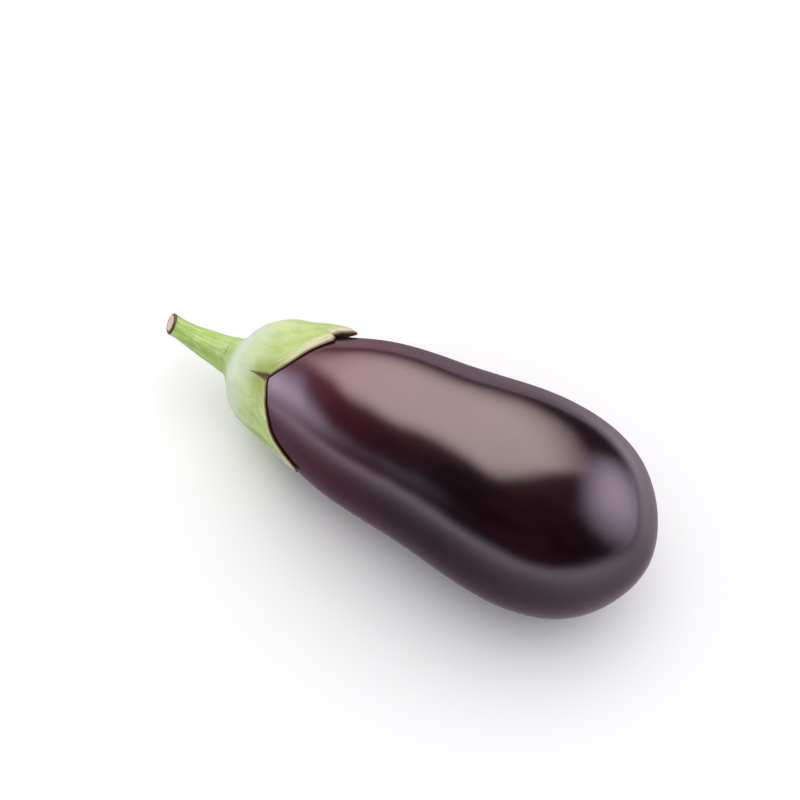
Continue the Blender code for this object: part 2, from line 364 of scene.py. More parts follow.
# %% [markdown]
# ## The skin's finish
# Eggplant skin is nearly black, with a red-purple that shows where light goes into it. Over it lies a
# thin natural wax, which gives a clear reflection on top of the skin's own softer one. One gloss could
# not be both, so the finish has two: the skin's, and a clear coat for the wax. Very fine bumps break
# the edges of the reflections. At the blossom end the flower left a small dry scar, and next to the
# calyx the skin saw less sun and is redder.

# %% The skin
SKIN_BLACK = chart(14, 2, 6)
SKIN_PURPLE = chart(37, 6, 18)
NECK_RED = chart(82, 14, 36)
NECK_SHARE = 0.45
CORK_DARK = chart(96, 66, 40)
CORK_PALE = chart(176, 140, 98)
CLOUD_SHARE, STREAK_SHARE = 0.6, 0.4
SKIN_STREAKS = (6.0, 60.0, 60.0)  # drawn out along the fruit
RIPPLE_HEIGHT = 0.06 * MM
FINE_HEIGHT = 0.01 * MM


def skin_finish():
    skin = Finish("eggplant_skin")
    place = skin.place()
    along = skin.attribute("along")
    scar = skin.attribute("scar")
    clouds = skin.noise(place, 22.0, 3.0, 0.55)
    streaks = skin.noise(skin.stretched(place, SKIN_STREAKS), 3.0, 4.0, 0.6)
    depth = skin.total(skin.product(clouds, CLOUD_SHARE), skin.product(streaks, STREAK_SHARE))
    colour = skin.blend(skin.mask(depth, 0.35, 0.68), SKIN_BLACK, SKIN_PURPLE)
    neck = skin.mask(along, 0.2, 0.62, 1.0, 0.0)
    colour = skin.blend(skin.product(neck, NECK_SHARE), colour, NECK_RED)
    cork = skin.blend(skin.noise(place, 900.0, 4.0, 0.6), CORK_DARK, CORK_PALE)
    colour = skin.blend(scar, colour, cork)
    ripple = skin.bump(skin.noise(place, 120.0, 2.0, 0.5), RIPPLE_HEIGHT)
    relief = skin.bump(skin.noise(place, 620.0, 2.0, 0.5), FINE_HEIGHT, Normal=ripple)
    return skin.surface(
        Base_Color=colour,
        Roughness=skin.mask(scar, 0.0, 1.0, 0.3, 0.8),
        IOR=1.45,
        Specular_IOR_Level=0.12,
        Coat_Weight=skin.mask(scar, 0.0, 0.6, 1.0, 0.0),
        Coat_Roughness=0.15,
        Coat_IOR=1.42,
        Normal=relief,
    )


skin_material = skin_finish()
print("the skin's finish has", len(skin_material.node_tree.nodes), "nodes")

# %% [markdown]
# ## The fruit
# The outline is turned in one spin. Its rings are about a millimetre apart, so the gloss runs over it
# without facets, and closer at the blossom end, where the scar is small. Each corner then moves to its
# grown place, with a slow unevenness that no lathe would give. The scar is a shallow dent with a raised
# lip and a rough floor.

# %% Turn and grow the fruit
FRUIT_COLUMNS = 256
FRUIT_RING_STEP = 1.25 * MM
SCAR_RING_STEP = 0.4 * MM
SCAR_REACH = 26 * MM
SCAR_RADIUS = 4.2 * MM
SCAR_DEPTH = 0.8 * MM
SCAR_LIP = 0.2 * MM
SCAR_LIP_AT = 1.15  # in scar radii, as the next one
SCAR_LIP_WIDTH = 0.22
SCAR_ROUGHNESS = 0.18 * MM
SCAR_GRAIN = 0.9 * MM
SCAR_RAGGEDNESS = 0.5
SCAR_RAGGED_SIZE = 1.4 * MM
SCAR_EDGE_STEEPNESS = 2.5
SCAR_ASIDE = 17 * MM
SCAR_BEARING = math.radians(300)
scar_at, _ = on_outline(SKIN_LENGTH - SCAR_ASIDE)
SCAR_PLACE = grown(scar_at.x, scar_at.y, SCAR_BEARING)
SLOW_UNEVENNESS = 0.28 * MM
SLOW_SIZE = 38 * MM
QUICK_UNEVENNESS = 0.05 * MM
QUICK_SIZE = 11 * MM
QUICK_START = Vector((7, 3, 5))  # somewhere else in the noise, so the two sizes don't line up


def unevenness(point):
    """How far the skin stands proud here, from two sizes of smooth noise."""
    slow = noise.noise(point / SLOW_SIZE) * SLOW_UNEVENNESS
    return slow + noise.noise(point / QUICK_SIZE + QUICK_START) * QUICK_UNEVENNESS


def scar_share(point):
    """How far a point is from the middle of the scar, as a share of the scar's radius."""
    return (point - SCAR_PLACE).length / SCAR_RADIUS


def scar_lift(point):
    """How far the skin is pushed outwards at the scar and its lip."""
    share = scar_share(point)
    lip = SCAR_LIP * math.exp(-(((share - SCAR_LIP_AT) / SCAR_LIP_WIDTH) ** 2))
    if share >= 1:
        return lip
    rough = noise.noise(point / SCAR_GRAIN) * SCAR_ROUGHNESS
    return lip - SCAR_DEPTH * (1 - share**2) ** 2 + rough * (1 - share)


def grow_fruit():
    """The fruit's bmesh, and for each corner its share of the length and how corky it is."""
    body = np.arange(0, SKIN_LENGTH - SCAR_REACH, FRUIT_RING_STEP)
    end = np.arange(SKIN_LENGTH - SCAR_REACH, SKIN_LENGTH, SCAR_RING_STEP)
    distances = [*body, *end, SKIN_LENGTH]
    chain = [tuple(on_outline(distance)[0]) for distance in distances]
    chain[0], chain[-1] = (0, 0), (FRUIT_LENGTH, 0)
    made = spun(chain, FRUIT_COLUMNS)
    along, scar = [], []
    for corner in made.verts:
        x, radius = corner.co.x, math.hypot(corner.co.y, corner.co.z)
        bearing = math.atan2(corner.co.z, corner.co.y)
        place = grown(x, radius, bearing)
        corner.co = place + corner.normal * (unevenness(place) + scar_lift(place))
        along.append(x / FRUIT_LENGTH)
        edge = 1 - scar_share(place) ** 2
        edge += SCAR_RAGGEDNESS * noise.noise(place / SCAR_RAGGED_SIZE)
        scar.append(min(1, max(0, SCAR_EDGE_STEEPNESS * edge)))
    made.normal_update()
    return made, along, scar


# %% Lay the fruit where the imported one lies
fruit_mesh, skin_along, skin_scar = grow_fruit()
turned = [TURN_TO_REST @ corner.co for corner in fruit_mesh.verts]
own_low = Vector([min(place[k] for place in turned) for k in range(3)])
own_high = Vector([max(place[k] for place in turned) for k in range(3)])
fruit_low, fruit_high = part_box("fruit")
laid_at = (fruit_low + fruit_high - own_low - own_high) / 2
laid_at.z = fruit_high.z - own_high.z
print("laid at, mm:", [round(part / MM, 2) for part in laid_at])
lay_down(fruit_mesh)
finish_piece(
    "fruit_skin",
    fruit_mesh,
    "fruit",
    [skin_material],
    [("along", "FLOAT", skin_along), ("scar", "FLOAT", skin_scar)],
)

# %% [markdown]
# ## The green parts' finish
# The calyx and the stem are one thick, faintly downy growth, so they share one network, and the seam
# between them can't be seen. The green is dull, with a soft sheen. It runs in streaks from the cut end
# to the lobes' tips, so the pattern reads an attribute that follows the growth, not the space around
# it. Darker blotches and pale specks lie over the streaks. Young tissue at the shoulder has a whitish
# bloom, and round each notch a darker green is painted in as shade. The lobes' edges have dried to
# cream, then to a thin brown line, and the tears between lobes are brown. The stem was cut with shears,
# and its end has dried to cork. Each of these is one mask and one colour, blended over the ones before.

# %% The green finish's colours
LEAF_LIGHT = chart(175, 203, 124)
LEAF_DEEP = chart(145, 180, 78)
LEAF_STREAK = chart(130, 164, 68)
LEAF_BLOTCH = chart(138, 166, 82)
LEAF_SPECK = chart(214, 222, 184)
BLOOM_WHITE = chart(204, 220, 194)
VEIN_PALE = chart(208, 216, 156)
# painted shade: the darker green laid round each notch
NOTCH_SHADE_GREEN = chart(136, 156, 62)
RIM_CREAM = chart(212, 206, 180)
RIM_OLIVE = chart(150, 148, 70)
DRIED_DARK = chart(46, 27, 8)
DRIED_PALE = chart(98, 66, 28)
PITH_DARK = chart(176, 148, 104)
PITH_PALE = chart(238, 228, 198)
VEIN_SHARE = 0.4
CREAM_SHARE = 0.9
LONG_STREAKS = (1.0, 1.0, 0.3)  # drawn out along the growth
FINE_STREAKS = (1.0, 1.0, 0.16)
STREAK_HEIGHT = 0.15 * MM
DOWN_HEIGHT = 0.06 * MM


# %% The green finish
def green_finish():
    green = Finish("calyx_green")
    grain = green.attribute("grain", "Vector")
    run = green.attribute("run")
    from_rim = green.attribute("from_rim")
    vein = green.attribute("vein")
    dried = green.attribute("dried")
    cut = green.attribute("cut")
    # how much painted shade darkens the green round each notch
    notch = green.mask(green.attribute("painted_notch_shade"), 0.0, 1.0)
    place = green.place()
    long_streaks = green.noise(green.stretched(grain, LONG_STREAKS), 3.2, 4.0, 0.6)
    fine_streaks = green.noise(green.stretched(grain, FINE_STREAKS), 17.0, 5.0, 0.7)
    clouds = green.noise(place, 85.0, 3.0, 0.55)
    blotches = green.noise(place, 190.0, 4.0, 0.65)
    mottle = green.noise(place, 420.0, 3.0, 0.6)

    colour = green.blend(green.mask(long_streaks, 0.38, 0.62), LEAF_LIGHT, LEAF_DEEP)
    patches = green.mask(clouds, 0.35, 0.6, 0.2, 0.75)
    darker = green.product(green.mask(fine_streaks, 0.5, 0.72), patches)
    colour = green.blend(darker, colour, LEAF_STREAK)
    colour = green.blend(green.mask(blotches, 0.48, 0.66, 0.0, 0.45), colour, LEAF_BLOTCH)
    shoulder = green.product(green.mask(run, 0.03, 0.24), green.mask(run, 0.3, 0.6, 1.0, 0.0))
    bloom = green.product(shoulder, green.mask(clouds, 0.3, 0.62, 0.55, 1.0))
    colour = green.blend(bloom, colour, BLOOM_WHITE)
    colour = green.blend(green.product(vein, VEIN_SHARE), colour, VEIN_PALE)
    colour = green.blend(green.mask(mottle, 0.45, 0.75, 0.0, 0.22), colour, LEAF_SPECK)
    # painted shade: a darker green round each notch, broken up by the clouds
    painted_notch_shade_share = green.product(notch, green.mask(clouds, 0.3, 0.6, 0.5, 0.95))
    colour = green.blend(painted_notch_shade_share, colour, NOTCH_SHADE_GREEN)

    ragged = green.total(from_rim, green.mask(clouds, 0.3, 0.7, -0.05, 0.05))
    near_tip = green.mask(run, 0.55, 0.85, 0.1, 1.0)
    cream = green.product(green.mask(ragged, 0.08, 0.32, 1.0, 0.0), near_tip)
    colour = green.blend(green.product(cream, CREAM_SHARE), colour, RIM_CREAM)
    by_rim = green.mask(ragged, 0.1, 0.6, 0.5, 0.0)
    olive = green.product(green.mask(fine_streaks, 0.46, 0.6), by_rim)
    colour = green.blend(olive, colour, RIM_OLIVE)
    brown = green.blend(mottle, DRIED_DARK, DRIED_PALE)
    colour = green.blend(green.mask(from_rim, 0.0, 0.05, 0.75, 0.0), colour, brown)
    colour = green.blend(dried, colour, brown)

    pith = green.blend(green.noise(place, 1300.0, 4.0, 0.7), PITH_DARK, PITH_PALE)
    colour = green.blend(cut, colour, pith)
    streaked = green.bump(fine_streaks, STREAK_HEIGHT)
    relief = green.bump(green.noise(place, 900.0, 3.0, 0.6), DOWN_HEIGHT, Normal=streaked)
    return green.surface(
        Base_Color=colour,
        Roughness=0.55,
        IOR=1.4,
        Specular_IOR_Level=0.4,
        Sheen_Weight=0.1,
        Sheen_Roughness=0.5,
        Subsurface_Weight=0.15,
        Subsurface_Radius=(1.2 * MM, 1.6 * MM, 0.5 * MM),
        Subsurface_Scale=1.0,
        Normal=relief,
    )


green_material = green_finish()
print("the green finish has", len(green_material.node_tree.nodes), "nodes")

# %% [markdown]
# ## The calyx
# The calyx is one cap with lobes of uneven length. It could be cut from a sheet and wrapped, but here a
# straight chain is spun into a tube, and each ring and column of the tube is then placed. The rings run
# from the collar at the stem over the shoulder to the lobes' edge, turn round the thin rim, and go back
# underneath to the neck's pole. The edge is given by its tips and notches, and softened a little, as
# nothing grown has a perfect point. The flesh is given by its height over the skin at a few distances,
# once for the plain side and once for the side that swells in a hump.

# %% The calyx's edge and flesh
CALYX_EDGE = (  # (bearing in degrees, reach over the skin, share of the swelling, lift off the skin)
    (8, 36 * MM, 0.4, 0.3 * MM),
    (34, 53 * MM, 1.0, 1.0 * MM),
    (41, 56.2 * MM, 1.0, 1.0 * MM),
    (46, 56.6 * MM, 1.0, 1.3 * MM),
    (50, 55.2 * MM, 1.0, 1.3 * MM),
    (56, 52 * MM, 1.0, 1.3 * MM),
    (60, 49.8 * MM, 1.0, 0.8 * MM),
    (64, 53 * MM, 1.0, 0.6 * MM),
    (69, 53.8 * MM, 0.95, 0.4 * MM),
    (76, 50.6 * MM, 0.8, 0.2 * MM),
    (100, 42.7 * MM, 0.4, 0.1 * MM),
    (123, 34.4 * MM, 0.1, 0),
    (144, 38.9 * MM, 0, 0.1 * MM),
    (168, 44.8 * MM, 0, 0.2 * MM),
    (177, 48.2 * MM, 0, 0.2 * MM),
    (183, 53.6 * MM, 0, 0.3 * MM),
    (188, 60.2 * MM, 0, 0.3 * MM),
    (191, 63.4 * MM, 0, 0.4 * MM),
    (198, 56 * MM, 0, 0.3 * MM),
    (212, 45.5 * MM, 0, 0.2 * MM),
    (240, 36 * MM, 0, 0),
    (260, 48 * MM, 0.1, 0.3 * MM),
    (272, 57 * MM, 0.1, 0.6 * MM),
    (284, 47 * MM, 0.1, 0.3 * MM),
    (304, 35 * MM, 0.1, 0),
    (324, 50 * MM, 0.4, 0.2 * MM),
    (336, 59 * MM, 0.5, 0.4 * MM),
    (348, 47.5 * MM, 0.5, 0.3 * MM),
)
CALYX_FLESH = (  # (distance over the skin, height over it on the plain side, and where it swells)
    (14 * MM, 7.1 * MM, 8.6 * MM),
    (18 * MM, 5.2 * MM, 8.0 * MM),
    (22 * MM, 3.4 * MM, 8.2 * MM),
    (27 * MM, 2.2 * MM, 7.5 * MM),
    (35 * MM, 1.5 * MM, 6.0 * MM),
    (45 * MM, 1.2 * MM, 5.5 * MM),
    (52 * MM, 1.0 * MM, 5.0 * MM),
    (64 * MM, 0.9 * MM, 2.2 * MM),
)
COLUMNS = 360
FLESH_STEP = 0.25 * MM
FLESH_SAMPLES = 280
EDGE_SOFTNESS = 0.9
FLESH_SOFTNESS = 8
EDGE_WOBBLE = 0.5 * MM
EDGE_WOBBLE_TURN = 5.5  # how far round the noise the edge goes
CAP_GAP = 0.12 * MM
RIM_THICKNESS = 0.55 * MM
RIM_PER_LIFT = 0.75
THICKENS_OVER = 2.2 * MM
LIFT_FROM = 0.62
COLLAR_RADIUS = 8.5 * MM
COLLAR_HEIGHT = 12.5 * MM
COLLAR_ASIDE = 1.6 * MM
COLLAR_BEARING = math.radians(40)
COLLAR_SWELL = 1.6 * MM
COLLAR_SWELL_BEARING = math.radians(75)


def edge_by_degree(number):
    """One of the edge's measures at every degree of bearing."""
    table = [CALYX_EDGE[-1], *CALYX_EDGE, CALYX_EDGE[0]]
    bearings = [row[0] for row in table]
    bearings[0] -= 360
    bearings[-1] += 360
    at = np.arange(COLUMNS)
    return softened(np.interp(at, bearings, [row[number] for row in table]), EDGE_SOFTNESS, "wrap")


edge_reach, edge_swelling, edge_lift = (edge_by_degree(number) for number in (1, 2, 3))
for k in range(COLUMNS):
    edge_reach[k] += EDGE_WOBBLE * noise.noise(spoke(math.radians(k), EDGE_WOBBLE_TURN))
flesh_places = np.arange(FLESH_SAMPLES) * FLESH_STEP
flesh_stations, *flesh_tables = zip(*CALYX_FLESH)
flesh_heights = [
    softened(np.interp(flesh_places, flesh_stations, heights), FLESH_SOFTNESS)
    for heights in flesh_tables
]
print("calyx reaches, mm:", round(min(edge_reach) / MM, 1), "to", round(max(edge_reach) / MM, 1))


def on_skin(distance, degrees, height=0.0):
    """A point at a height over the finished skin, with the skin's own unevenness."""
    at, normal = on_outline(distance)
    base = grown(at.x, at.y, math.radians(degrees))
    at += normal * (height + unevenness(base))
    return grown(at.x, at.y, math.radians(degrees))


def lift(distance, degrees):
    """How far the calyx's underside is off the skin."""
    share = max(0, distance / edge_reach[degrees] - LIFT_FROM) / (1 - LIFT_FROM)
    return CAP_GAP + edge_lift[degrees] * share**2


# %% Distances from the edge
RIM_POINTS = 3  # per degree
rim_tree = kdtree.KDTree(COLUMNS * RIM_POINTS)
for number in range(COLUMNS * RIM_POINTS):
    degrees, step = divmod(number, RIM_POINTS)
    following = (degrees + 1) % COLUMNS
    reach_step = (edge_reach[following] - edge_reach[degrees]) * step / RIM_POINTS
    rim_at = on_outline(edge_reach[degrees] + reach_step)[0]
    bearing = math.radians(degrees + step / RIM_POINTS)
    rim_tree.insert(grown(rim_at.x, rim_at.y, bearing), number)
rim_tree.balance()
print("points on the calyx's edge:", COLUMNS * RIM_POINTS)


def rim_distance(distance, degrees):
    """How far a point of the calyx is from the nearest stretch of its edge."""
    at = on_outline(distance)[0]
    return rim_tree.find(grown(at.x, at.y, math.radians(degrees)))[2]


def height_over_skin(distance, degrees, from_rim):
    """The calyx's outer side over the skin. It thins to the rim near the edge."""
    plain, swollen = (np.interp(distance, flesh_places, heights) for heights in flesh_heights)
    inner = plain + (swollen - plain) * edge_swelling[degrees]
    rim = lift(distance, degrees) + RIM_THICKNESS + RIM_PER_LIFT * edge_lift[degrees]
    share = 1 - math.exp(-from_rim / THICKENS_OVER)
    return rim + (max(inner, rim) - rim) * share


# %% [markdown]
# ## Veins, notches and tears
# Raised veins run from the stem into every lobe and draw together towards its tip. They could be lines
# drawn on the mesh, but it is simpler to ask of each corner where it lies between its lobe's two sides.
# Round each notch a darker green is painted in as shade. There the leaf has also torn a little, as the
# fruit swelled. The tear is a short wedge that points back to the stem.

# %% The calyx's relief
NOTCHES = ((8, 36 * MM), (123, 34.4 * MM), (240, 36 * MM), (304, 35 * MM))
LOBE_MIDDLES = (50, 188, 272, 336)
VEIN_SPREAD = 0.13
VEIN_PLACES = (-0.75, -0.4, 0.0, 0.4, 0.75)
VEIN_HEIGHT = 0.22 * MM
VEINS_FROM = 14 * MM
VEINS_RISE = 10 * MM
NARROWEST = 0.95
LOBE_FROM = 34 * MM
LOBE_TO = 60 * MM
NOTCH_SHADE_REACH = 9 * MM
TEAR_LENGTH = 8.5 * MM
TEAR_WIDTH = 1.9 * MM
TEAR_DEPTH = 0.5 * MM
TEAR_PAST_EDGE = 0.2  # in tear lengths
TEAR_TAPER = 1.3
TEAR_POINT_WIDTH = 0.12 * MM
TEAR_CORE = 1.7  # how full it is at its middle, of which only 1 counts
TEAR_FADE = 1.4
WRINKLE_HEIGHT = 0.4 * MM
WRINKLE_SIZE = 9 * MM


def lobe_place(distance, degrees):
    """Where a point lies across its lobe, from -1 at one side to 1 at the other, and the bearing
    that it grew from: the flesh fans out from the stem, then draws together towards the tip."""
    starts = [notch[0] for notch in NOTCHES]
    first = max((start for start in starts if start <= degrees), default=starts[-1] - 360)
    last = min((start for start in starts if start > degrees), default=starts[0] + 360)
    middles = [middle + turn for turn in (0, -360, 360) for middle in LOBE_MIDDLES]
    middle = next(middle for middle in middles if first < middle < last)
    narrowing = min(NARROWEST, max(0, distance - LOBE_FROM) / (LOBE_TO - LOBE_FROM))
    left = first + (middle - first) * narrowing
    right = last + (middle - last) * narrowing
    across = max(-1, min(1, 2 * (degrees - left) / (right - left) - 1))
    return across, math.radians(first + (last - first) * (across + 1) / 2)


def veins(distance, across):
    """1 along the top of each vein, fading to 0 beside it and towards the stem."""
    height = sum(math.exp(-(((across - place) / VEIN_SPREAD) ** 2)) for place in VEIN_PLACES)
    return height * min(1, max(0, distance - VEINS_FROM) / VEINS_RISE)


def painted_notch_shade(distance, degrees):
    """1 at a notch, fading out over the flesh round it, where a darker green is painted in as shade."""
    at = on_skin(distance, degrees)
    nearest = min((at - on_skin(reach, notch)).length for notch, reach in NOTCHES)
    return math.exp(-((nearest / NOTCH_SHADE_REACH) ** 2))


def tear(distance, degrees):
    """1 in the wedge of a tear, fading to 0 beside it."""
    best = 0
    for notch_degrees, notch_reach in NOTCHES:
        inward = (notch_reach - distance) / TEAR_LENGTH
        if not -TEAR_PAST_EDGE < inward < 1:
            continue
        turn = (degrees - notch_degrees + 180) % 360 - 180
        aside = abs(math.radians(turn)) * on_outline(distance)[0].y
        half = TEAR_WIDTH * (1 - max(0, inward)) ** TEAR_TAPER + TEAR_POINT_WIDTH
        best = max(best, min(1, max(0, TEAR_CORE - TEAR_FADE * aside / half)))
    return best


# %% From the collar out to the shoulder
SHOULDER_DISTANCE = 14 * MM
COLLAR_HANDLE = Vector((3.4 * MM, 0.9 * MM))
SHOULDER_HANDLE = 2.8 * MM


@functools.cache
def flare_ends(degrees):
    """The shoulder, as (x, radius), and the heading of the surface there."""
    ends = []
    for distance in (SHOULDER_DISTANCE, SHOULDER_DISTANCE + MM):
        at, normal = on_outline(distance)
        height = height_over_skin(distance, degrees, rim_distance(distance, degrees))
        ends.append(at + normal * (height + unevenness(grown(at.x, at.y, math.radians(degrees)))))
    return ends[0], (ends[1] - ends[0]).normalized()


def flare(share, degrees):
    """A point of the curve that leads from the collar out to the shoulder, as (x, radius)."""
    shoulder, onward = flare_ends(degrees)
    collar = Vector((-COLLAR_HEIGHT, collar_radius(math.radians(degrees))))
    first, last = collar + COLLAR_HANDLE, shoulder - onward * SHOULDER_HANDLE
    left = 1 - share
    ends = collar * left**3 + shoulder * share**3
    return ends + (first * left + last * share) * 3 * left * share


def collar_radius(bearing):
    """The collar is wider where the calyx swells."""
    return COLLAR_RADIUS + COLLAR_SWELL * max(0, math.cos(bearing - COLLAR_SWELL_BEARING)) ** 2


def off_axis(share):
    """The collar sits a little off the axis. share is 1 at the stem and 0 at the shoulder."""
    return spoke(COLLAR_BEARING, COLLAR_ASIDE * share)


# %% Where each ring goes
FLARE_RINGS = 26
LEAF_RINGS = 84
RIM_RINGS = 7
UNDER_RINGS = 26
FLARE_RUN = 18 * MM
COLLAR_FLOOR = 0.6 * MM
LEAF_CROWDING = 0.92
UNDER_STEEPNESS, UNDER_FROM = 2.2, 0.5


def calyx_corner(ring, degrees):
    """Where a corner of the calyx goes, its distance over the skin, its run from the collar, whether
    it is on the outer side, and how far under the rim."""
    reach = edge_reach[degrees]
    if ring == 0:
        return Vector((-COLLAR_HEIGHT + COLLAR_FLOOR, 0, 0)) + off_axis(1), 0, 0, 0, 0
    ring -= 1
    if ring < FLARE_RINGS:
        share = ring / FLARE_RINGS
        at = flare(share, degrees)
        place = grown(at.x, at.y, math.radians(degrees)) + off_axis((1 - share) ** 2)
        return place, SHOULDER_DISTANCE, FLARE_RUN * share, 1, 0
    ring -= FLARE_RINGS
    if ring <= LEAF_RINGS:
        share = (ring / LEAF_RINGS) ** LEAF_CROWDING
        distance = SHOULDER_DISTANCE + (reach - SHOULDER_DISTANCE) * share
        height = height_over_skin(distance, degrees, rim_distance(distance, degrees))
        run = FLARE_RUN + distance - SHOULDER_DISTANCE
        return on_skin(distance, degrees, height), distance, run, 1, 0
    ring -= LEAF_RINGS
    run = FLARE_RUN + reach - SHOULDER_DISTANCE
    if ring < RIM_RINGS:
        turn = math.pi * ring / RIM_RINGS
        low = lift(reach, degrees)
        half = (height_over_skin(reach, degrees, 0) - low) / 2
        bulge = reach + half * math.sin(turn)
        under = min(1, max(0, UNDER_STEEPNESS * turn / math.pi - UNDER_FROM))
        return on_skin(bulge, degrees, low + half * (1 + math.cos(turn))), reach, run, 0, under
    ring -= RIM_RINGS
    distance = reach * (1 - ring / UNDER_RINGS)
    if ring == UNDER_RINGS:
        return Vector((-CAP_GAP, 0, 0)), 0, run, 0, 1
    return on_skin(distance, degrees, lift(distance, degrees)), distance, run, 0, 1


# %% Spin and place the calyx
GRAIN_SIZE = 25 * MM
RUN_UNIT = 66 * MM
RIM_UNIT = 10 * MM
RELIEF_FADE = 8 * MM
RIM_RELIEF_FADE = 2.5 * MM
GREEN_VALUES = ("from_rim", "run", "vein", "dried", "painted_notch_shade", "cut", "grain")


def grow_calyx():
    """The calyx's bmesh, and what its finish reads at each corner."""
    rings = 1 + FLARE_RINGS + LEAF_RINGS + RIM_RINGS + UNDER_RINGS
    made = spun([(0, 0), *((ring, 1) for ring in range(1, rings)), (rings, 0)], COLUMNS)
    values = {key: [] for key in GREEN_VALUES}
    heights = []
    for corner in made.verts:
        ring = round(corner.co.x)
        degrees = round(math.degrees(math.atan2(corner.co.z, corner.co.y))) % 360
        corner.co, distance, run, outside, under = calyx_corner(ring, degrees)
        corner.tag = ring == 1
        across, origin = lobe_place(distance, degrees)
        vein, torn = veins(distance, across), tear(distance, degrees)
        from_rim = rim_distance(distance, degrees) * outside
        fade = min(1, from_rim / RIM_RELIEF_FADE) * min(1, run / RELIEF_FADE)
        wrinkle = noise.noise(corner.co / WRINKLE_SIZE) * WRINKLE_HEIGHT
        heights.append((VEIN_HEIGHT * vein + wrinkle) * fade - TEAR_DEPTH * torn * outside)
        values["from_rim"].append(from_rim / RIM_UNIT)
        values["run"].append(run / RUN_UNIT)
        values["vein"].append(vein * outside)
        values["dried"].append(max(torn, under))
        values["painted_notch_shade"].append(painted_notch_shade(distance, degrees))
        values["cut"].append(0)
        values["grain"].append((*spoke(origin).yz, run / GRAIN_SIZE))
    return raised(made, heights), values


def raised(made, heights):
    """Moves each corner out along its normal, and keeps the seam between calyx and stem sharp."""
    bmesh.ops.recalc_face_normals(made, faces=made.faces)
    made.normal_update()
    outward = [corner.normal.copy() for corner in made.verts]
    for corner, direction, height in zip(made.verts, outward, heights):
        corner.co += direction * height
    for edge in made.edges:
        edge.smooth = not all(corner.tag for corner in edge.verts)
    return made


def as_attributes(values):
    """Each list with its name and kind. The grain is a place, and the others are numbers."""
    kinds = {"grain": "FLOAT_VECTOR"}
    return [(key, kinds.get(key, "FLOAT"), row) for key, row in values.items()]


calyx_mesh, calyx_values = grow_calyx()
lay_down(calyx_mesh)
finish_piece(
    "calyx_cap", calyx_mesh, "calyx", [green_material], as_attributes(calyx_values)
)

# %% [markdown]
# ## The stem
# The stem carries on from the collar in the same section, so the two read as one growth. It narrows,
# bends, and keeps five soft ridges. It could be a curve with a bevel, but its section changes all the
# way, so it is a spun tube too, with each ring set square to a bent path. It was cut with shears, so
# its end has a dried lip round a pale, slightly sunken, fibrous face. The shears were held at a slant,
# so the face leans.

# %% The stem's path and section
STEM_LENGTH = 32.5 * MM
STEM_TIP_RADIUS = 4.4 * MM
STEM_TURN = math.radians(38)
STEM_BEARING = math.radians(112)
STEM_TAPER = 1.5
STEM_RIDGE = 0.35 * MM
STEM_RIDGES = 5
RIDGE_TURN = 0.6
TIP_SWELL = 0.35 * MM
TIP_SWELL_LENGTH = 3.5 * MM


def stem_path(along):
    """The stem's centre and heading, along its length from 0 at the collar to 1 at the cut."""
    aside = spoke(STEM_BEARING)
    back = Vector((-1, 0, 0))
    turned = STEM_TURN * along
    bend_radius = STEM_LENGTH / STEM_TURN
    start = Vector((-COLLAR_HEIGHT, 0, 0)) + off_axis(1)
    centre = start + back * bend_radius * math.sin(turned)
    centre += aside * bend_radius * (1 - math.cos(turned))
    return centre, back * math.cos(turned) + aside * math.sin(turned)


def stem_radius(along, bearing):
    """The section narrows from the collar's, has soft ridges midway, and swells at the cut."""
    narrowing = (collar_radius(bearing) - STEM_TIP_RADIUS) * (1 - along) ** STEM_TAPER
    ridge = STEM_RIDGE * math.sin(math.pi * along) ** 2
    radius = STEM_TIP_RADIUS + narrowing
    radius += ridge * math.cos(STEM_RIDGES * bearing + RIDGE_TURN)
    from_cut = (1 - along) * STEM_LENGTH / TIP_SWELL_LENGTH
    return radius + TIP_SWELL * math.exp(-(from_cut**2))


# %% The stem's rings and its cut
STEM_RINGS = 100
STEM_ROOT = 0.3 * MM
LIP_RINGS = 6
LIP_RADIUS = 0.9 * MM
FACE_RINGS = 16
FACE_SINK = 0.4 * MM
FACE_SINK_STEEPNESS = 3
FACE_PALE_STEEPNESS = 6
FACE_LEAN = math.tan(math.radians(17))
FACE_LEAN_BEARING = math.radians(350)
FACE_LEAN_FADE = 12
FIBRE_SIZE = 0.8 * MM
FIBRE_HEIGHT = 0.2 * MM
DRIED_LENGTH = 0.5 * MM


def stem_corner(ring, bearing):
    """Where a corner of the stem goes, its share of the length, and whether it is on the cut face."""
    last_ring = 1 + STEM_RINGS + LIP_RINGS + FACE_RINGS
    along = min(1, max(0, (ring - 1) / STEM_RINGS))
    centre, heading = stem_path(along)
    radius, forward, cut = stem_radius(along, bearing), 0, 0
    if ring > 1 + STEM_RINGS:
        turn = min(1, (ring - 1 - STEM_RINGS) / LIP_RINGS) * math.pi / 2
        inward = max(0, (ring - 1 - STEM_RINGS - LIP_RINGS) / FACE_RINGS)
        radius = (radius - LIP_RADIUS * (1 - math.cos(turn))) * (1 - inward)
        sink = FACE_SINK * min(1, inward * FACE_SINK_STEEPNESS)
        forward = LIP_RADIUS * math.sin(turn) - sink
        cut = turn / math.pi + 0.5 * min(1, inward * FACE_PALE_STEEPNESS)
    if ring in (0, last_ring):
        radius = 0
    if ring == 0:
        forward = -STEM_ROOT
    lean = FACE_LEAN * math.cos(bearing - FACE_LEAN_BEARING)
    forward += radius * lean * along**FACE_LEAN_FADE
    turned = Vector((-1, 0, 0)).rotation_difference(heading)
    place = centre + turned @ spoke(bearing, radius) + heading * forward
    if cut:
        place += heading * noise.noise(place / FIBRE_SIZE) * FIBRE_HEIGHT * cut
    return place, along, cut


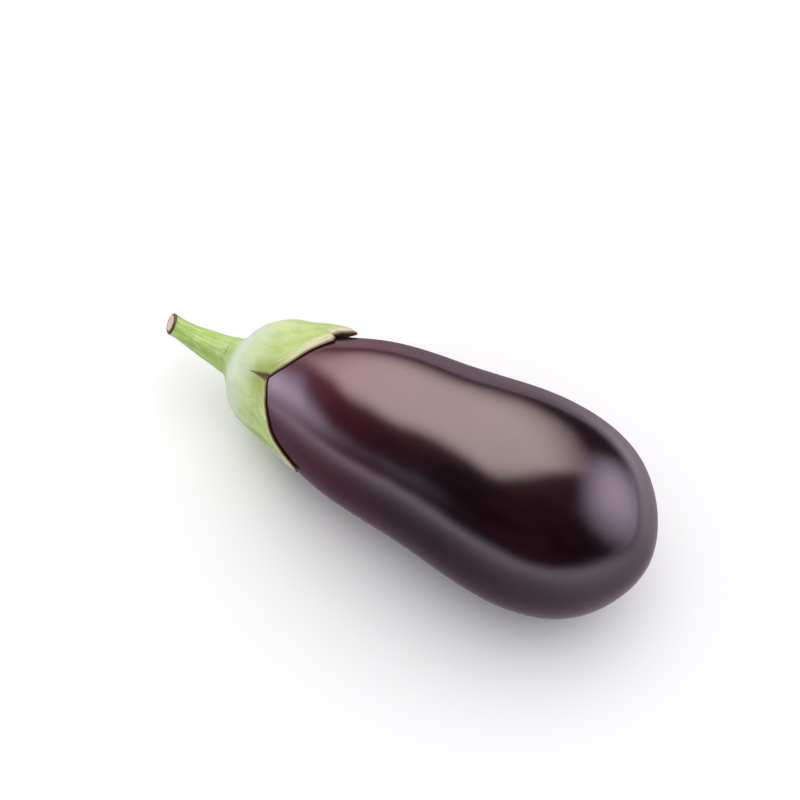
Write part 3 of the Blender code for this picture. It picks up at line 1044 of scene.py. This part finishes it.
def grow_stem():
    """The stem's bmesh, and what its finish reads at each corner."""
    rings = 1 + STEM_RINGS + LIP_RINGS + FACE_RINGS
    made = spun([(0, 0), *((ring, 1) for ring in range(1, rings)), (rings, 0)], COLUMNS)
    values = {key: [] for key in GREEN_VALUES}
    heights = []
    for corner in made.verts:
        ring = round(corner.co.x)
        bearing = math.radians(round(math.degrees(math.atan2(corner.co.z, corner.co.y))) % 360)
        corner.co, along, cut = stem_corner(ring, bearing)
        corner.tag = ring == 1
        run = -along * STEM_LENGTH
        fade = min(1, -run / RELIEF_FADE) * (1 - cut)
        heights.append(noise.noise(corner.co / WRINKLE_SIZE) * WRINKLE_HEIGHT * fade)
        from_cut = (1 - along) * STEM_LENGTH
        dried = min(1, 2 * cut) + math.exp(-((from_cut / DRIED_LENGTH) ** 2))
        values["from_rim"].append(1)
        values["run"].append(run / RUN_UNIT)
        values["vein"].append(0)
        values["dried"].append(min(1, dried))
        values["painted_notch_shade"].append(0)
        values["cut"].append(max(0, 2 * cut - 1))
        values["grain"].append((*spoke(bearing).yz, run / GRAIN_SIZE))
    return raised(made, heights), values


stem_mesh, stem_values = grow_stem()
lay_down(stem_mesh)
finish_piece(
    "stem_stalk", stem_mesh, "stem", [green_material], as_attributes(stem_values)
)

# %% [markdown]
# ## The floor
# The eggplant lies on a plain pale surface, one square so wide that its edge never shows. A skin this
# glossy would mirror it as a hard white flank. So a reflected ray finds a glow in place of the surface,
# as if cards lay round the eggplant: dark right under it, brightest a little in front, dimmer behind
# and to the left, and even far away. To the camera, and as a light on the green parts, it stays pale.

# %% The floor
FLOOR_COLOUR = (0.93, 0.93, 0.93, 1)
FLOOR_FRONT_REFLECTED = (2.5, 2.12, 2.6, 1)
FLOOR_BACK_LEFT_REFLECTED = (0.6, 0.44, 0.5, 1)
FLOOR_BACK_RIGHT_REFLECTED = (1.7, 1.4, 1.65, 1)
FLOOR_DISTANT_REFLECTED = (0.75, 0.6, 0.78, 1)
FLOOR_NEAR_REFLECTED = (0.22, 0.16, 0.21, 1)
FLOOR_HALF_WIDTH = 12.0
NEARBY, DISTANT = (0.06, 0.36), (0.25, 1.1)  # where each begins to change and has changed
BEHIND, RIGHTWARD = (-0.12, 0.08), (-0.1, 0.2)


def lay_floor(half_width):
    """A pale surface that shows a different brightness in the gloss than to the camera."""
    finish = Finish("pale_floor")
    place = finish.place()
    from_middle = finish.node("ShaderNodeVectorMath", {"operation": "LENGTH"}, Vector=place)
    sides = finish.node("ShaderNodeSeparateXYZ", Vector=place).outputs
    nearby = finish.mask(from_middle.outputs["Value"], *NEARBY)
    distant = finish.mask(from_middle.outputs["Value"], *DISTANT)
    behind = finish.mask(sides["Y"], *BEHIND)
    rightward = finish.mask(sides["X"], *RIGHTWARD)
    back = finish.blend(rightward, FLOOR_BACK_LEFT_REFLECTED, FLOOR_BACK_RIGHT_REFLECTED)
    around = finish.blend(behind, FLOOR_FRONT_REFLECTED, back)
    reflected = finish.blend(nearby, FLOOR_NEAR_REFLECTED, around)
    reflected = finish.blend(distant, reflected, FLOOR_DISTANT_REFLECTED)
    ray = finish.node("ShaderNodeLightPath").outputs["Is Glossy Ray"]
    glow = finish.node("ShaderNodeEmission", Color=reflected)
    finish.surface(Base_Color=FLOOR_COLOUR, Roughness=0.85, Specular_IOR_Level=0.1)
    mixed = finish.tree.nodes.new("ShaderNodeMixShader")
    for number, part in enumerate((ray, finish.shader.outputs[0], glow.outputs[0])):
        fill_socket(finish.tree, mixed.inputs[number], part)
    output = finish.tree.nodes["Material Output"].inputs["Surface"]
    fill_socket(finish.tree, output, mixed.outputs[0])
    made = bmesh.new()
    bmesh.ops.create_grid(made, x_segments=1, y_segments=1, size=half_width)
    mesh = bpy.data.meshes.new("floor")
    made.to_mesh(mesh)
    made.free()
    mesh.materials.append(finish.material)
    floor = bpy.data.objects.new("floor", mesh)
    bpy.context.scene.collection.objects.link(floor)


lay_floor(FLOOR_HALF_WIDTH)
print("the floor is", 2 * FLOOR_HALF_WIDTH, "m wide")

# %% [markdown]
# ## The studio
# A glossy dark skin shows the studio more than its own colour, so the lights are placed by what they
# should draw on it. One long softbox leans from overhead down to the far left, and draws the wide pale
# band along the back. An upright card at the left draws the lilac patch by the calyx, and a broad, soft
# lamp beyond the blossom end draws the round spot there. Each fades towards its edges, as a diffuser
# does, so the reflections have soft borders. The green parts and the surface are lit by an even fill,
# which the gloss doesn't show, and the room reflects dark, so the skin stays black between the lights.

# %% Lights
def hang_softbox(name, near, far, width, brightness, tint, fades):
    """A softbox between the middles of its near and far edges, facing the eggplant. Fades are the
    shares of its size over which it dims: at the far edge, at the near edge, and at each side."""
    near, far = Vector(near), Vector(far)
    middle = (near + far) / 2
    long_way = (near - far).normalized()
    across = long_way.cross(-middle).normalized()
    facing = across.cross(long_way)
    lamp = bpy.data.lights.new(name, "AREA")
    lamp.shape = "RECTANGLE"
    lamp.size, lamp.size_y = width, (near - far).length
    lamp.energy = brightness * math.pi * lamp.size * lamp.size_y
    lamp.color = tint
    lamp.use_nodes = True
    tree = lamp.node_tree
    sides = tree.nodes.new("ShaderNodeSeparateXYZ")
    spot = tree.nodes.new("ShaderNodeNewGeometry").outputs["Parametric"]
    fill_socket(tree, sides.inputs[0], spot)
    from_side, from_far = sides.outputs[0], sides.outputs[1]
    strength = ramp(tree, from_far, 0, fades[0], 0, 1)
    strength = multiply(tree, strength, ramp(tree, from_far, 1 - fades[1], 1, 1, 0))
    strength = multiply(tree, strength, ramp(tree, from_side, 0, fades[2], 0, 1))
    strength = multiply(tree, strength, ramp(tree, from_side, 1 - fades[3], 1, 1, 0))
    fill_socket(tree, tree.nodes["Emission"].inputs["Strength"], strength)
    hung = bpy.data.objects.new(name, lamp)
    turn = Matrix((-across, long_way, -facing)).transposed().to_4x4()
    hung.matrix_world = Matrix.Translation(middle) @ turn
    hung.visible_camera = False
    hung.visible_diffuse = False
    bpy.context.scene.collection.objects.link(hung)


WARM = (1.0, 0.77, 0.76)
LILAC = (1.0, 0.79, 1.05)
VIOLET = (1.0, 0.9, 1.18)
hang_softbox(
    "long_softbox",
    near=(0.11, -0.04, 0.8),
    far=(-1.08, 1.03, 0.16),
    width=1.38,
    brightness=8.7,
    tint=WARM,
    fades=(0.76, 0.12, 0.5, 0.2),
)
hang_softbox(
    "left_card",
    near=(-0.42, -0.85, 0.13),
    far=(-1.05, 0.3, 0.13),
    width=0.5,
    brightness=6.4,
    tint=VIOLET,
    fades=(0.35, 0.7, 0.35, 0.7),
)
hang_softbox(
    "end_lamp",
    near=(1.02, 0.64, -0.3),
    far=(0.43, 0.29, 1.24),
    width=1.7,
    brightness=6.6,
    tint=LILAC,
    fades=(0.5, 0.5, 0.5, 0.5),
)

# %% The even fill
FILL_STRENGTH = 1.0
FILL_SOFTNESS = math.radians(80)
FILL_TILT = (math.radians(-15), math.radians(12), 0)
fill = bpy.data.lights.new("fill", "SUN")
fill.energy = FILL_STRENGTH
fill.angle = FILL_SOFTNESS
fill_lamp = bpy.data.objects.new("fill", fill)
fill_lamp.rotation_euler = FILL_TILT
fill_lamp.visible_glossy = False
bpy.context.scene.collection.objects.link(fill_lamp)

# %% The room
ROOM_SEEN = (0.95, 0.95, 0.95, 1)
ROOM_LIGHTING = (0.84, 0.83, 0.85, 1)
ROOM_REFLECTED = (0.015, 0.01, 0.013, 1)
room = bpy.data.worlds.new("room")
room.use_nodes = True
room_tree = room.node_tree
room_ray = room_tree.nodes.new("ShaderNodeLightPath").outputs
lighting = mix_colours(room_tree, room_ray["Is Glossy Ray"], ROOM_LIGHTING, ROOM_REFLECTED)
seen = mix_colours(room_tree, room_ray["Is Camera Ray"], lighting, ROOM_SEEN)
room_tree.links.new(seen, room_tree.nodes["Background"].inputs["Color"])
bpy.context.scene.world = room
bpy.context.scene.view_settings.view_transform = "Standard"

# %% [markdown]
# ## The camera
# A near lens would swell the end that is closest, so a long lens looks on from some way off, from above
# and to the right of the front. The stem is at the far upper left and the blossom end is near.

# %% The camera
AZIMUTH = math.radians(34.6)
ELEVATION = math.radians(53.67)
CAMERA_DISTANCE = 940 * MM
LENS = 100
packed_middle = (packed_low + packed_high) / 2
AIM_FROM_MIDDLE = Vector((-3.7, 6.5, 8.8)) * MM
back = Vector(
    (
        math.sin(AZIMUTH) * math.cos(ELEVATION),
        -math.cos(AZIMUTH) * math.cos(ELEVATION),
        math.sin(ELEVATION),
    )
)
aim = packed_middle + AIM_FROM_MIDDLE
camera_data = bpy.data.cameras.new("camera")
camera_data.lens = LENS
camera = bpy.data.objects.new("camera", camera_data)
camera.location = aim + back * CAMERA_DISTANCE
camera.rotation_mode = "QUATERNION"
camera.rotation_quaternion = (-back).to_track_quat("-Z", "Y")
bpy.context.scene.collection.objects.link(camera)
bpy.context.scene.camera = camera
print("camera at", [round(part, 3) for part in camera.location])
